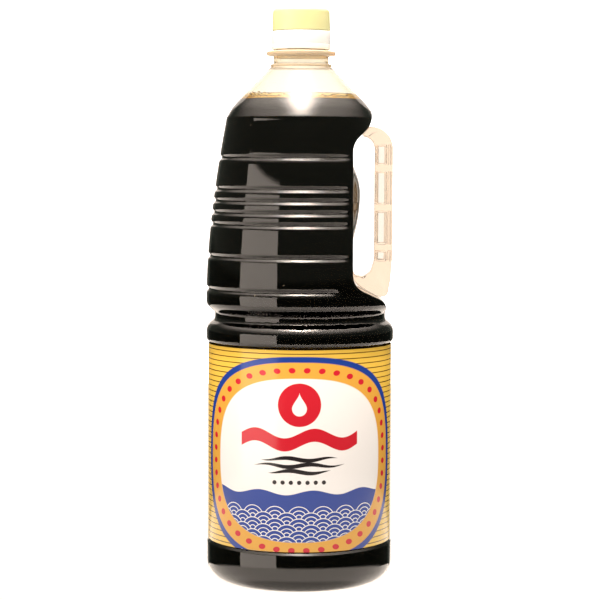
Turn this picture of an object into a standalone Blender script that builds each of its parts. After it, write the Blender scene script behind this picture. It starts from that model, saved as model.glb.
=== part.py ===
"""A family-size soy sauce bottle: a clear blown bottle with a separate moulded grip, its sauce,
a wrap-round label, a white neck collar and a yellow cap.

Metres, +Z up. The bottle stands on Z = 0 with its axis on Z, and the grip is on the +X side.
"""
import math

import bmesh
import bpy

MM = 0.001

# Base and label panel
FOOT_INNER_RADIUS = 37.0 * MM       # the flat ring that the bottle stands on
FOOT_OUTER_RADIUS = 39.4 * MM
PUSH_UP = 9.0 * MM                  # how far the underside domes upwards
BASE_RADIUS = 50.7 * MM
BASE_TOP = 21.3 * MM
PANEL_RADIUS = 49.5 * MM
PANEL_BOTTOM = 22.9 * MM
PANEL_TOP = 130.9 * MM

# Waist, between the label panel and the tapering grip wall
LOWER_BEAD_RADIUS = 51.4 * MM
LOWER_BEAD_BOTTOM = 132.5 * MM
LOWER_BEAD_TOP = 139.9 * MM
WAIST_RADIUS = 46.8 * MM
WAIST_BOTTOM = 143.7 * MM
WAIST_TOP = 149.1 * MM
BEAD_RADIUS = 51.5 * MM
BEAD_BOTTOM = 154.6 * MM

# Grip wall: it tapers from the upper bead to the shoulder's corner
TAPER_START = 157.6 * MM
TAPER_POWER = 1.7
CORNER_RADIUS = 40.4 * MM
CORNER_HEIGHT = 254.1 * MM

# Narrow grooves pressed into the grip wall
GROOVE_DEPTH = 1.2 * MM
GROOVE_HALF = 1.8 * MM
GROOVE_FLOOR = 0.4                  # share of the half height that is flat floor
TRIPLE_PITCH = 6.33 * MM            # four close grooves leave three narrow ribs
TRIPLE_LOWEST = 195.6 * MM
GROOVE_HEIGHTS = [160.4 * MM, 178.3 * MM, 231.5 * MM]
GROOVE_HEIGHTS += [TRIPLE_LOWEST + TRIPLE_PITCH * i for i in range(4)]
GROOVE_MARGIN = math.radians(2)     # plain wall between a groove's end and the recess
GROOVE_FADE = math.radians(5)       # the stretch in which a groove runs out
LOWEST_GROOVE_END = math.radians(66)

# Shoulder, neck and mouth
SHOULDER_TURN_RADIUS = 38.5 * MM
SHOULDER_TURN_HEIGHT = 257.2 * MM
CONE_BOTTOM_RADIUS = 37.2 * MM
CONE_BOTTOM = 259.2 * MM
CONE_TOP_RADIUS = 16.2 * MM
CONE_TOP = 281.2 * MM
NECK_RADIUS = 15.0 * MM
NECK_BOTTOM = 282.2 * MM
FLANGE_RADIUS = 18.9 * MM
FLANGE_BOTTOM = 287.2 * MM
FLANGE_TOP = 288.8 * MM
FINISH_RADIUS = 13.6 * MM           # the neck inside the cap
BORE_RADIUS = 12.0 * MM
MOUTH_HEIGHT = 310.8 * MM

# Finger recess behind the grip: a profile in X and Z that is cut straight along Y
RECESS_X = 28.0 * MM
RECESS_BOTTOM = 169.7 * MM
SHELF_ARC = 10.0 * MM
SHELF_TURN = math.radians(63)       # how far the floor has turned where it becomes the sloping shelf
SHELF_END_X = 43.2 * MM
SHELF_NOSE = 6.4 * MM
RECESS_TOP = 234.5 * MM
ROOF_ARC = 11.0 * MM
ROOF_TURN = math.radians(45)
ROOF_END_X = 35.1 * MM
ROOF_NOSE = 12.0 * MM
EDGE_LEAST = math.radians(20)       # half angle that the recess columns always keep

# Low swelling in the middle of the recess floor
PAD_RISE = 4.8 * MM
PAD_MIDDLE = 212.0 * MM
PAD_UP = 16.8 * MM
PAD_DOWN = 28.2 * MM
PAD_HALF_WIDTH = 22.0 * MM

# Wall, contents and the gap that touching pieces keep
WALL = 0.7 * MM
GAP = 0.3 * MM
SAUCE_LEVEL = 264.0 * MM

# Grip
GRIP_HALF_WIDTH = 9.0 * MM
GRIP_OUTER_X = 50.2 * MM
GRIP_INNER_X = 40.4 * MM
GRIP_TOP = 248.7 * MM
GRIP_ARCH_THICKNESS = 5.5 * MM
GRIP_OUTER_ARC = 12.0 * MM
GRIP_INNER_ARC = 5.5 * MM
GRIP_EDGE = 0.8 * MM                # rounding of its long edges
GRIP_TIP = 2.0 * MM                 # how blunt its two thin ends are
GRIP_TAPER_START = 177.8 * MM
GRIP_HEEL_X = 49.2 * MM
GRIP_HEEL_HEIGHT = 165.0 * MM
GRIP_SOLE_HEIGHT = 155.9 * MM
GRIP_TOE_TOP = 169.5 * MM
GRIP_FOOT_TOP = 166.0 * MM
GRIP_WEB = 2.4 * MM
POCKET_X = (41.8 * MM, 45.9 * MM)
POCKET_BOTTOM = 175.5 * MM
POCKET_TOP = 239.0 * MM
RIB_HEIGHTS = [182.8 * MM, 204.5 * MM, 226.2 * MM]
RIB_THICKNESS = 3.4 * MM

# Label, collar and cap
LABEL_RADIUS = 50.3 * MM
LABEL_THICKNESS = 0.4 * MM
LABEL_BOTTOM = 23.3 * MM
LABEL_TOP = 130.4 * MM
COLLAR_RADIUS = 16.1 * MM
COLLAR_BOTTOM = 290.2 * MM
COLLAR_TOP = 300.1 * MM
CAP_RADIUS = 15.9 * MM
CAP_TOP_RADIUS = 15.5 * MM
CAP_TOP = 312.7 * MM
CAP_EDGE = 2.4 * MM
CAP_WALL = 1.4 * MM

# How finely round shapes are divided
FACE_STEPS = 8                      # columns across the recess
BACK_STEPS = 30                     # columns round the rest of the bottle
ROUND_STEPS = 40
LABEL_STEPS = 60
ARC_STEPS = 4


def arc(x, z, radius, start, end, steps=ARC_STEPS):
    """Points along an arc in the XZ plane, from one angle to another."""
    angles = [start + (end - start) * i / steps for i in range(steps + 1)]
    return [(x + radius * math.cos(a), z + radius * math.sin(a)) for a in angles]


def recess_outline(inset=0.0):
    """The recess's profile from its lower nose to its upper one, moved into the bottle by inset."""
    half_turn = math.pi
    shelf_arc_end = (
        RECESS_X + SHELF_ARC - SHELF_ARC * math.cos(SHELF_TURN),
        RECESS_BOTTOM - SHELF_ARC * math.sin(SHELF_TURN),
    )
    shelf_drop = (SHELF_END_X - shelf_arc_end[0]) / math.tan(SHELF_TURN)
    nose_x = SHELF_END_X - SHELF_NOSE * math.cos(SHELF_TURN)
    nose_z = shelf_arc_end[1] - shelf_drop - SHELF_NOSE * math.sin(SHELF_TURN)
    roof_arc_end = (
        RECESS_X + ROOF_ARC - ROOF_ARC * math.cos(ROOF_TURN),
        RECESS_TOP + ROOF_ARC * math.sin(ROOF_TURN),
    )
    roof_rise = (ROOF_END_X - roof_arc_end[0]) / math.tan(ROOF_TURN)
    brow_x = ROOF_END_X - ROOF_NOSE * math.cos(ROOF_TURN)
    brow_z = roof_arc_end[1] + roof_rise + ROOF_NOSE * math.sin(ROOF_TURN)
    nose = arc(nose_x, nose_z, SHELF_NOSE - inset, 0, SHELF_TURN)
    shelf = arc(RECESS_X + SHELF_ARC, RECESS_BOTTOM, SHELF_ARC + inset, half_turn + SHELF_TURN, half_turn)
    roof = arc(RECESS_X + ROOF_ARC, RECESS_TOP, ROOF_ARC + inset, half_turn, half_turn - ROOF_TURN)
    brow = arc(brow_x, brow_z, ROOF_NOSE - inset, -ROOF_TURN, 0)
    return nose + shelf + roof + brow


def recess_x(height, inset=0.0):
    """Where the recess's floor lies at a height, or None above and below it."""
    outline = recess_outline(inset)
    for (x_low, low), (x_high, high) in zip(outline, outline[1:]):
        if low <= height <= high:
            return x_low + (x_high - x_low) * (height - low) / (high - low)
    return None


def pad_heights():
    """Heights at which the swelling needs a turn, from its lower tip to its upper one."""
    below = [PAD_MIDDLE - PAD_DOWN * share for share in (1, 0.7, 0.35, 0)]
    return below + [PAD_MIDDLE + PAD_UP * share for share in (0.5, 1)]


def pad_rise(across, height):
    """How far the recess floor swells out at a place."""
    reach = PAD_UP if height > PAD_MIDDLE else PAD_DOWN
    along = max(0.0, 1 - ((height - PAD_MIDDLE) / reach) ** 2)
    return PAD_RISE * along * max(0.0, 1 - (across / PAD_HALF_WIDTH) ** 2)


def grip_wall(height):
    """Radius of the tapering wall, without its grooves."""
    share = max(0.0, (height - TAPER_START) / (CORNER_HEIGHT - TAPER_START))
    return BEAD_RADIUS - (BEAD_RADIUS - CORNER_RADIUS) * share ** TAPER_POWER


def plain_radius(height):
    """Radius above the waist: the flare up to the bead and then the tapering wall, without grooves."""
    share = min(1.0, (height - WAIST_TOP) / (BEAD_BOTTOM - WAIST_TOP))
    flare = WAIST_RADIUS + (BEAD_RADIUS - WAIST_RADIUS) * share
    return min(flare, grip_wall(height))


def groove_depth(height):
    """How deep a groove is at a height, at its full section."""
    off = min(abs(height - middle) for middle in GROOVE_HEIGHTS) / GROOVE_HALF
    return GROOVE_DEPTH * min(1.0, max(0.0, (1 - off) / (1 - GROOVE_FLOOR)))


def smooth_step(value):
    value = min(1.0, max(0.0, value))
    return value * value * (3 - 2 * value)


def wall_ring(radius, height, depth=0.0, inset=0.0):
    """One turn of the bottle's wall: first across the recess, then round the back."""
    floor = recess_x(height, inset)
    cut = floor is not None and floor < radius
    edge = max(EDGE_LEAST, math.acos(floor / radius)) if cut else EDGE_LEAST
    groove_end = edge + GROOVE_MARGIN
    if abs(height - GROOVE_HEIGHTS[0]) < GROOVE_HALF:
        groove_end = LOWEST_GROOVE_END
    points = []
    for i in range(FACE_STEPS + 1):
        angle = edge * (2 * i / FACE_STEPS - 1)
        reach = min(radius, floor / math.cos(angle)) if cut else radius
        x, y = reach * math.cos(angle), reach * math.sin(angle)
        if cut and reach < radius:
            x += pad_rise(y, height)
        points.append((x, y, height))
    for i in range(1, BACK_STEPS):
        angle = edge + (2 * math.pi - 2 * edge) * i / BACK_STEPS
        from_grip = min(angle, 2 * math.pi - angle)
        reach = radius - depth * smooth_step((from_grip - groove_end) / GROOVE_FADE)
        points.append((reach * math.cos(angle), reach * math.sin(angle), height))
    return points


def thinned(heights, least):
    """Sorted heights, each at least so far from the one before."""
    kept = []
    for height in sorted(heights):
        if not kept or height - kept[-1] >= least:
            kept.append(height)
    return kept


def grip_wall_heights():
    """Heights at which the outer wall needs a turn: its grooves' edges, the recess's bends and the pad."""
    groove = [m + GROOVE_HALF * s for m in GROOVE_HEIGHTS for s in (-1, -GROOVE_FLOOR, GROOVE_FLOOR, 1)]
    bends = [z for _, z in recess_outline() if BEAD_BOTTOM + MM < z < CORNER_HEIGHT - MM]
    clear = [z for z in bends + pad_heights() if min(abs(z - g) for g in groove) > 0.5 * MM]
    return thinned(groove + clear, 0.5 * MM)


def outer_rings():
    """The bottle's outside, from the middle of the underside to the mouth."""
    rings = [[(0, 0, PUSH_UP)]]
    rings += [wall_ring(FOOT_INNER_RADIUS * 0.6, PUSH_UP * 0.75)]
    rings += [wall_ring(FOOT_INNER_RADIUS * 0.93, PUSH_UP * 0.2)]
    rings += [wall_ring(FOOT_INNER_RADIUS, 0.0)]
    corner = BASE_RADIUS - FOOT_OUTER_RADIUS
    rings += [wall_ring(r, z) for r, z in arc(FOOT_OUTER_RADIUS, corner, corner, -math.pi / 2, 0)]
    sides = [
        (BASE_RADIUS, BASE_TOP),
        (PANEL_RADIUS, PANEL_BOTTOM),
        (PANEL_RADIUS, PANEL_TOP),
        (LOWER_BEAD_RADIUS, LOWER_BEAD_BOTTOM),
        (LOWER_BEAD_RADIUS, LOWER_BEAD_TOP),
        (WAIST_RADIUS, WAIST_BOTTOM),
        (WAIST_RADIUS, WAIST_TOP),
        ((WAIST_RADIUS + BEAD_RADIUS) / 2, (WAIST_TOP + BEAD_BOTTOM) / 2),
        (BEAD_RADIUS, BEAD_BOTTOM),
    ]
    rings += [wall_ring(r, z) for r, z in sides]
    rings += [wall_ring(grip_wall(z), z, groove_depth(z)) for z in grip_wall_heights()]
    shoulder = [
        (CORNER_RADIUS, CORNER_HEIGHT),
        (SHOULDER_TURN_RADIUS, SHOULDER_TURN_HEIGHT),
        (CONE_BOTTOM_RADIUS, CONE_BOTTOM),
        (CONE_TOP_RADIUS, CONE_TOP),
        (NECK_RADIUS, NECK_BOTTOM),
        (NECK_RADIUS, FLANGE_BOTTOM),
        (FLANGE_RADIUS, FLANGE_BOTTOM + GAP),
        (FLANGE_RADIUS, FLANGE_TOP - GAP),
        (FINISH_RADIUS, FLANGE_TOP),
        (FINISH_RADIUS, MOUTH_HEIGHT),
    ]
    return rings + [wall_ring(r, z) for r, z in shoulder]


def hollow_sides(inset):
    """The plain inner outline up the sides, as (radius, height), under the shoulder's cone."""
    corner = BASE_RADIUS - FOOT_OUTER_RADIUS
    outline = arc(FOOT_OUTER_RADIUS, corner, corner - inset, -math.pi / 2, 0, 3)
    outline += [
        (BASE_RADIUS - inset, BASE_TOP - inset),
        (PANEL_RADIUS - inset, PANEL_BOTTOM),
        (PANEL_RADIUS - inset, PANEL_TOP),
        (LOWER_BEAD_RADIUS - inset, LOWER_BEAD_BOTTOM + inset),
        (LOWER_BEAD_RADIUS - inset, LOWER_BEAD_TOP - inset),
        (WAIST_RADIUS - inset, WAIST_BOTTOM),
        (WAIST_RADIUS - inset, WAIST_TOP),
    ]
    bends = [z for _, z in recess_outline() if WAIST_TOP < z < CORNER_HEIGHT - MM]
    for z in thinned(bends + pad_heights(), MM):
        outline.append((plain_radius(z) - GROOVE_DEPTH - inset, z))
    return outline + [(CORNER_RADIUS - GROOVE_DEPTH - inset, CORNER_HEIGHT)]


def cone_radius(height, inset):
    """Radius of the shoulder's cone at a height, moved inwards by inset along its normal."""
    slope = (CONE_BOTTOM_RADIUS - CONE_TOP_RADIUS) / (CONE_TOP - CONE_BOTTOM)
    return CONE_BOTTOM_RADIUS - slope * (height - CONE_BOTTOM) - inset * math.hypot(1, slope)


def hollow_rings(inset, top):
    """The inside from the middle of the base up to a height on the shoulder's cone."""
    rings = [[(0, 0, PUSH_UP + inset)]]
    rings += [wall_ring(FOOT_INNER_RADIUS * 0.6, PUSH_UP * 0.75 + 1.2 * inset, 0, inset)]
    rings += [wall_ring(FOOT_INNER_RADIUS, 1.2 * inset, 0, inset)]
    rings += [wall_ring(r, z, 0, inset) for r, z in hollow_sides(inset)]
    rings += [wall_ring(cone_radius(CONE_BOTTOM, inset), CONE_BOTTOM, 0, inset)]
    return rings + [wall_ring(cone_radius(top, inset), top, 0, inset)]


def skin(name, rings, closed=False):
    """A mesh object whose surface runs through the rings; a ring of one point is a pole.

    Each four-sided patch is split the same way on every skin, so that nested skins keep their gap,
    and the two sides of the bottle mirror each other.
    """
    mesh = bpy.data.meshes.new(name)
    shape = bmesh.new()
    rows = [[shape.verts.new(point) for point in ring] for ring in rings]
    pairs = list(zip(rows, rows[1:]))
    if closed:
        pairs.append((rows[-1], rows[0]))
    for low, high in pairs:
        count = max(len(low), len(high))
        upward = low[0].co.z < high[0].co.z
        for i in range(count):
            j = (i + 1) % count
            if len(low) == 1:
                shape.faces.new((low[0], high[j], high[i]))
            elif len(high) == 1:
                shape.faces.new((low[i], low[j], high[0]))
            elif (low[i].co.y + low[j].co.y > 0) == upward:
                shape.faces.new((low[i], low[j], high[j]))
                shape.faces.new((low[i], high[j], high[i]))
            else:
                shape.faces.new((low[i], low[j], high[i]))
                shape.faces.new((low[j], high[j], high[i]))
    bmesh.ops.recalc_face_normals(shape, faces=shape.faces)
    shape.to_mesh(mesh)
    shape.free()
    return placed(name, mesh)


def placed(name, mesh):
    """Put a mesh in the scene as an object, shaded smooth but for its true corners."""
    mesh.shade_smooth()
    mesh.set_sharp_from_angle(angle=math.radians(32))
    piece = bpy.data.objects.new(name, mesh)
    bpy.context.scene.collection.objects.link(piece)
    return piece


def round_ring(radius, height, steps=ROUND_STEPS):
    angles = [2 * math.pi * i / steps for i in range(steps)]
    return [(radius * math.cos(a), radius * math.sin(a), height) for a in angles]


def finish(piece, name, color, roughness, transmission=0.0):
    """Give a piece its own plain material."""
    material = bpy.data.materials.new(name)
    material.use_nodes = True
    shader = material.node_tree.nodes["Principled BSDF"]
    shader.inputs["Base Color"].default_value = (*color, 1)
    shader.inputs["Roughness"].default_value = roughness
    shader.inputs["Metallic"].default_value = 0
    shader.inputs["Transmission Weight"].default_value = transmission
    piece.data.materials.append(material)


def make_bottle():
    """The blown bottle: outside and inside are one surface that turns over at the mouth."""
    neck = [wall_ring(BORE_RADIUS, z) for z in (MOUTH_HEIGHT, CONE_TOP - MM)]
    inside = hollow_rings(WALL, CONE_TOP - 4 * MM)
    piece = skin("bottle", outer_rings() + neck + inside[::-1])
    finish(piece, "clear_bottle", (0.93, 0.92, 0.88), 0.06, 1.0)


def make_sauce():
    """The sauce fills the bottle up to its level, a gap inside the wall."""
    rings = hollow_rings(WALL + GAP, SAUCE_LEVEL)
    piece = skin("soy_sauce", rings + [[(0, 0, SAUCE_LEVEL)]])
    finish(piece, "soy_sauce_liquid", (0.025, 0.012, 0.008), 0.05)


def grip_outline():
    """The grip's side view, anticlockwise from the toe of its foot."""
    touching = recess_outline(-GAP)
    underside = GRIP_TOP - GRIP_ARCH_THICKNESS
    arch_tip = underside + GRIP_TIP
    lower = [(x, z) for x, z in touching if GRIP_SOLE_HEIGHT < z < RECESS_BOTTOM][::-1]
    upper = [(x, z) for x, z in touching if arch_tip + MM < z < GRIP_TOP][::-1]
    toe_x = recess_x(GRIP_TOE_TOP, -GAP)
    toe = [(toe_x + GRIP_TIP, GRIP_TOE_TOP), (toe_x, GRIP_TOE_TOP)]
    heel = [
        (recess_x(GRIP_SOLE_HEIGHT, -GAP), GRIP_SOLE_HEIGHT),
        (GRIP_HEEL_X - 2.2 * MM, GRIP_SOLE_HEIGHT + MM),
        (GRIP_HEEL_X, GRIP_HEEL_HEIGHT),
        (GRIP_OUTER_X, GRIP_TAPER_START),
    ]
    crown = arc(
        GRIP_OUTER_X - GRIP_OUTER_ARC, GRIP_TOP - GRIP_OUTER_ARC, GRIP_OUTER_ARC, 0, math.pi / 2, 8
    )
    arch = [(recess_x(GRIP_TOP, -GAP), GRIP_TOP)] + upper
    arch += [(recess_x(arch_tip, -GAP), arch_tip), (recess_x(arch_tip, -GAP) + GAP, underside)]
    bow = arc(
        GRIP_INNER_X - GRIP_INNER_ARC, underside - GRIP_INNER_ARC, GRIP_INNER_ARC, math.pi / 2, 0, 5
    )
    gusset = [
        (GRIP_INNER_X, POCKET_BOTTOM),
        (GRIP_INNER_X - 0.9 * MM, POCKET_BOTTOM - 2.5 * MM),
        (GRIP_INNER_X - 5.4 * MM, GRIP_FOOT_TOP + MM),
        (GRIP_INNER_X - 8.4 * MM, GRIP_FOOT_TOP + 0.6 * MM),
    ]
    return toe + lower + heel + crown + arch + bow + gusset


def box_points(x_range, y_range, z_range):
    return [(x, y, z) for x in x_range for y in y_range for z in z_range]


def pocket_cutter():
    """Boxes that hollow both sides of the grip between its flanges, leaving the web and the cross ribs."""
    half = RIB_THICKNESS / 2
    bottoms = [POCKET_BOTTOM] + [z + half for z in RIB_HEIGHTS]
    tops = [z - half for z in RIB_HEIGHTS] + [POCKET_TOP]
    mesh = bpy.data.meshes.new("pocket_cutter")
    shape = bmesh.new()
    for side in (-1, 1):
        y_range = sorted((side * GRIP_WEB / 2, side * (GRIP_HALF_WIDTH + MM)))
        for z_range in zip(bottoms, tops):
            corners = [shape.verts.new(p) for p in box_points(POCKET_X, y_range, z_range)]
            bmesh.ops.convex_hull(shape, input=corners)
    bmesh.ops.recalc_face_normals(shape, faces=shape.faces)
    shape.to_mesh(mesh)
    shape.free()
    cutter = bpy.data.objects.new("pocket_cutter", mesh)
    bpy.context.scene.collection.objects.link(cutter)
    cutter.hide_render = True
    cutter.display_type = "WIRE"
    return cutter


def make_grip():
    """The grip: its side view drawn out to its width, its long edges rounded, its sides pocketed."""
    mesh = bpy.data.meshes.new("grip")
    shape = bmesh.new()
    near = [shape.verts.new((x, -GRIP_HALF_WIDTH, z)) for x, z in grip_outline()]
    face = shape.faces.new(near)
    swept = bmesh.ops.extrude_face_region(shape, geom=[face])["geom"]
    far = [item for item in swept if isinstance(item, bmesh.types.BMVert)]
    bmesh.ops.translate(shape, verts=far, vec=(0, 2 * GRIP_HALF_WIDTH, 0))
    rims = [e for e in shape.edges if abs(e.verts[0].co.y - e.verts[1].co.y) < GAP]
    bmesh.ops.bevel(
        shape, geom=rims, offset=GRIP_EDGE, offset_type="OFFSET", segments=2, profile=0.5, affect="EDGES"
    )
    bmesh.ops.recalc_face_normals(shape, faces=shape.faces)
    shape.to_mesh(mesh)
    shape.free()
    piece = placed("grip", mesh)
    cut = piece.modifiers.new("pockets", "BOOLEAN")
    cut.operation = "DIFFERENCE"
    cut.solver = "EXACT"
    cut.object = pocket_cutter()
    finish(piece, "clear_grip", (0.95, 0.90, 0.82), 0.12, 1.0)


def make_label():
    """The wrap-round label, a thin sleeve that lies in the bottle's panel."""
    inner = LABEL_RADIUS - LABEL_THICKNESS
    outline = [
        (inner, LABEL_BOTTOM),
        (LABEL_RADIUS, LABEL_BOTTOM),
        (LABEL_RADIUS, LABEL_TOP),
        (inner, LABEL_TOP),
    ]
    piece = skin("label", [round_ring(r, z, LABEL_STEPS) for r, z in outline], closed=True)
    finish(piece, "label_film", (0.86, 0.62, 0.22), 0.3)


def make_collar():
    """The white ring of the closure, round the neck above the flange."""
    inner = FINISH_RADIUS + GAP
    edge = 0.5 * MM
    outline = [
        (inner, COLLAR_BOTTOM),
        (COLLAR_RADIUS - edge, COLLAR_BOTTOM),
        (COLLAR_RADIUS, COLLAR_BOTTOM + edge),
        (COLLAR_RADIUS, COLLAR_TOP),
        (inner, COLLAR_TOP),
    ]
    piece = skin("cap_collar", [round_ring(r, z) for r, z in outline], closed=True)
    finish(piece, "white_plastic", (0.9, 0.9, 0.88), 0.35)


def make_cap():
    """The yellow cap, a cup that is turned over the mouth."""
    bottom = COLLAR_TOP + GAP
    under = CAP_TOP - CAP_WALL
    outline = [(CAP_RADIUS - CAP_WALL, bottom), (CAP_RADIUS, bottom)]
    outline += arc(CAP_TOP_RADIUS - CAP_EDGE, CAP_TOP - CAP_EDGE, CAP_EDGE, 0, math.pi / 2)
    rings = [[(0, 0, under)], round_ring(CAP_TOP_RADIUS - CAP_WALL, under)]
    rings += [round_ring(r, z) for r, z in outline] + [[(0, 0, CAP_TOP)]]
    piece = skin("cap", rings)
    finish(piece, "yellow_plastic", (0.90, 0.82, 0.38), 0.35)


def main():
    for old in list(bpy.data.objects):
        bpy.data.objects.remove(old, do_unlink=True)
    make_bottle()
    make_sauce()
    make_grip()
    make_label()
    make_collar()
    make_cap()


main()
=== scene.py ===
# %% [markdown]
# # A family-size soy sauce bottle
# The bottle is clear blown plastic, filled with a sauce so dark that it reads as black wherever
# it is more than a few millimetres thick. What the eye sees is therefore mostly gloss: a bright
# line on every ribbed edge, a soft patch on the shoulder, a grey strip down the left.
# So the shapes come first, then clear materials that bend and soak up light, and last a studio
# for them to mirror.

# %% Load the fixed frame
import math
import random

import bpy
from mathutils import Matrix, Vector


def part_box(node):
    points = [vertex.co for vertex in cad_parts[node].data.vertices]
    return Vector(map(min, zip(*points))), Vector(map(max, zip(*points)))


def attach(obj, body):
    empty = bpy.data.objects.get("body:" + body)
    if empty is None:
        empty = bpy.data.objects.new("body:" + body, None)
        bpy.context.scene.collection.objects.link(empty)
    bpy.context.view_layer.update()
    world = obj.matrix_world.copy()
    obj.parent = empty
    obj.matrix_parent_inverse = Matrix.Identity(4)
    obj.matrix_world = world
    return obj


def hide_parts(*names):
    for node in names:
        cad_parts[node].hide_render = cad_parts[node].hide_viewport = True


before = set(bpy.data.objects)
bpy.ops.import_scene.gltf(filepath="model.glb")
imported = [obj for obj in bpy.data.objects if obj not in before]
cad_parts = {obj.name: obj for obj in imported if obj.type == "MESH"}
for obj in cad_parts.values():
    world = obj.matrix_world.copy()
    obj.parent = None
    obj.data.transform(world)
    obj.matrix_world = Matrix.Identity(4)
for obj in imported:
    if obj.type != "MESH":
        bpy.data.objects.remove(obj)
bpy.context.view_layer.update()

MM = 0.001

# %% [markdown]
# ## The camera
# The photograph was taken with a long lens from about a metre away, at about seven tenths of the
# bottle's height, and tipped down a little. The size of the bottle in the picture and the way its
# rings curve give the distance and the height. A long lens keeps the sides almost parallel.

# %% Camera
LENS = 119.4
CAMERA_DISTANCE = 1.0904
CAMERA_HEIGHT = 0.2246
TIP_DOWN = math.radians(3.72)
ROLL = math.radians(0.26)
camera_data = bpy.data.cameras.new("camera")
camera_data.lens = LENS
camera = bpy.data.objects.new("camera", camera_data)
camera.location = (0, -CAMERA_DISTANCE, CAMERA_HEIGHT)
camera.rotation_euler = (math.pi / 2 - TIP_DOWN, 0, 0)
camera.rotation_euler.rotate_axis("Z", ROLL)
bpy.context.scene.collection.objects.link(camera)
bpy.context.scene.camera = camera
bpy.context.scene.view_settings.view_transform = "Standard"
print("camera", tuple(round(v, 3) for v in camera.location))

# %% [markdown]
# ## Drawing an outline and turning it
# A blown bottle is round, so it is drawn as half an outline and spun about its axis. The outline
# is drawn vertex by vertex, as one does with the E key: a plane is merged to one point, and that
# point is extruded from place to place. Spin then sweeps it round, and its last copy is merged
# with the first.

# %% Outline helpers
ON_AXIS = 0.1 * MM  # a point nearer to the axis than this lies on it
ONE_POINT = 0.00001  # points nearer to each other than this are merged


def select_only(piece):
    """Select one object alone and make it the active one."""
    bpy.ops.object.select_all(action="DESELECT")
    piece.select_set(True)
    bpy.context.view_layer.objects.active = piece


def start_edit(piece):
    """Go into edit mode on one object, with all of its mesh selected."""
    select_only(piece)
    bpy.ops.object.mode_set(mode="EDIT")
    bpy.ops.mesh.select_all(action="SELECT")


def end_edit():
    """Go back to object mode."""
    bpy.ops.object.mode_set(mode="OBJECT")


def draw_outline(name, points):
    """Draw a chain of edges through (x, z) points in the XZ plane."""
    bpy.ops.mesh.primitive_plane_add(size=MM, location=(0, 0, 0))
    piece = bpy.context.object
    piece.name = name
    start_edit(piece)
    bpy.ops.mesh.merge(type="CENTER")
    bpy.ops.transform.translate(value=(points[0][0], 0, points[0][1]))
    for (x, z), (next_x, next_z) in zip(points, points[1:]):
        step = (next_x - x, 0, next_z - z)
        bpy.ops.mesh.extrude_region_move(TRANSFORM_OT_translate={"value": step})
    end_edit()
    return piece


def turn(piece, steps):
    """Spin a drawn outline round the Z axis, close it, and point its faces outwards."""
    start_edit(piece)
    bpy.ops.mesh.spin(steps=steps, angle=2 * math.pi, center=(0, 0, 0), axis=(0, 0, 1))
    bpy.ops.mesh.select_all(action="SELECT")
    bpy.ops.mesh.remove_doubles(threshold=ONE_POINT)
    bpy.ops.mesh.normals_make_consistent(inside=False)
    end_edit()
    print(piece.name, len(piece.data.polygons), "faces")


def face(piece, outwards=True):
    """Flip a turned skin's faces if they don't look away from the axis, or towards it."""
    lean = 0.0
    for polygon in piece.data.polygons:
        normal = polygon.normal
        centre = polygon.center
        lean += polygon.area * (normal.x * centre.x + normal.y * centre.y)
    if (lean > 0) != outwards:
        start_edit(piece)
        bpy.ops.mesh.flip_normals()
        end_edit()
    print(piece.name, "faces look", "outwards" if outwards else "inwards")


def smooth(piece, degrees=35):
    """Shade a piece smooth, but for edges that turn more than an angle."""
    select_only(piece)
    bpy.ops.object.shade_smooth_by_angle(angle=math.radians(degrees))


def arc(x, z, radius, start, end, steps=6):
    """Points along an arc in the XZ plane; the angles are in degrees."""
    angles = [math.radians(start + (end - start) * i / steps) for i in range(steps + 1)]
    return [(x + radius * math.cos(a), z + radius * math.sin(a)) for a in angles]


def round_corners(corners, steps=4):
    """Round each (x, z, radius) corner of an outline with an arc that touches both of its sides."""
    points = [corners[0][:2]]
    for before, corner, after in zip(corners, corners[1:], corners[2:]):
        here = Vector(corner[:2])
        back = Vector(before[:2]) - here
        ahead = Vector(after[:2]) - here
        half = back.angle(ahead) / 2
        reach = min(corner[2] / math.tan(half), 0.48 * back.length, 0.48 * ahead.length)
        if reach < 0.02 * MM:
            points.append(corner[:2])
            continue
        radius = reach * math.tan(half)
        spine = (back.normalized() + ahead.normalized()).normalized()
        centre = here + spine * radius / math.sin(half)
        first = here + back.normalized() * reach - centre
        last = here + ahead.normalized() * reach - centre
        start = math.degrees(math.atan2(first.y, first.x))
        end = math.degrees(math.atan2(last.y, last.x))
        swing = (end - start + 180) % 360 - 180
        points += arc(centre.x, centre.y, radius, start, start + swing, steps)
    return points + [corners[-1][:2]]


def in_metres(corners):
    """Turn rows of millimetres into rows of metres."""
    return [tuple(value * MM for value in corner) for corner in corners]


def clean_outline(points, shortest=0.05 * MM):
    """Leave out points that lie almost on the one before."""
    kept = [points[0]]
    for point in points[1:]:
        if math.dist(point, kept[-1]) > shortest:
            kept.append(point)
    return kept


# %% [markdown]
# ## The grooves of the grip wall
# Above the waist the wall tapers in a long curve, and narrow grooves are pressed into it: one by
# the waist, one alone, four close together that leave three ribs, and one higher up. Each is a
# soft trough. A cosine gives it its round floor and round lips, and those lips catch the light.

# %% Wall and grooves
BEAD_RADIUS = 51.5 * MM
TAPER_START = 157.6 * MM
TAPER_POWER = 1.7
CORNER_RADIUS = 40.4 * MM
CORNER_HEIGHT = 254.1 * MM
GROOVE_DEPTH = 1.2 * MM
GROOVE_HALF = 2.1 * MM
GROOVE_HEIGHTS = [160.4 * MM, 178.3 * MM, 231.5 * MM]
GROOVE_HEIGHTS += [(195.6 + 6.33 * i) * MM for i in range(4)]
FINE_ROW = 0.42 * MM
COARSE_ROW = 1.4 * MM


def grip_wall(height):
    """Radius of the tapering wall at a height, without its grooves."""
    share = max(0.0, (height - TAPER_START) / (CORNER_HEIGHT - TAPER_START))
    return BEAD_RADIUS - (BEAD_RADIUS - CORNER_RADIUS) * share ** TAPER_POWER


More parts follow.
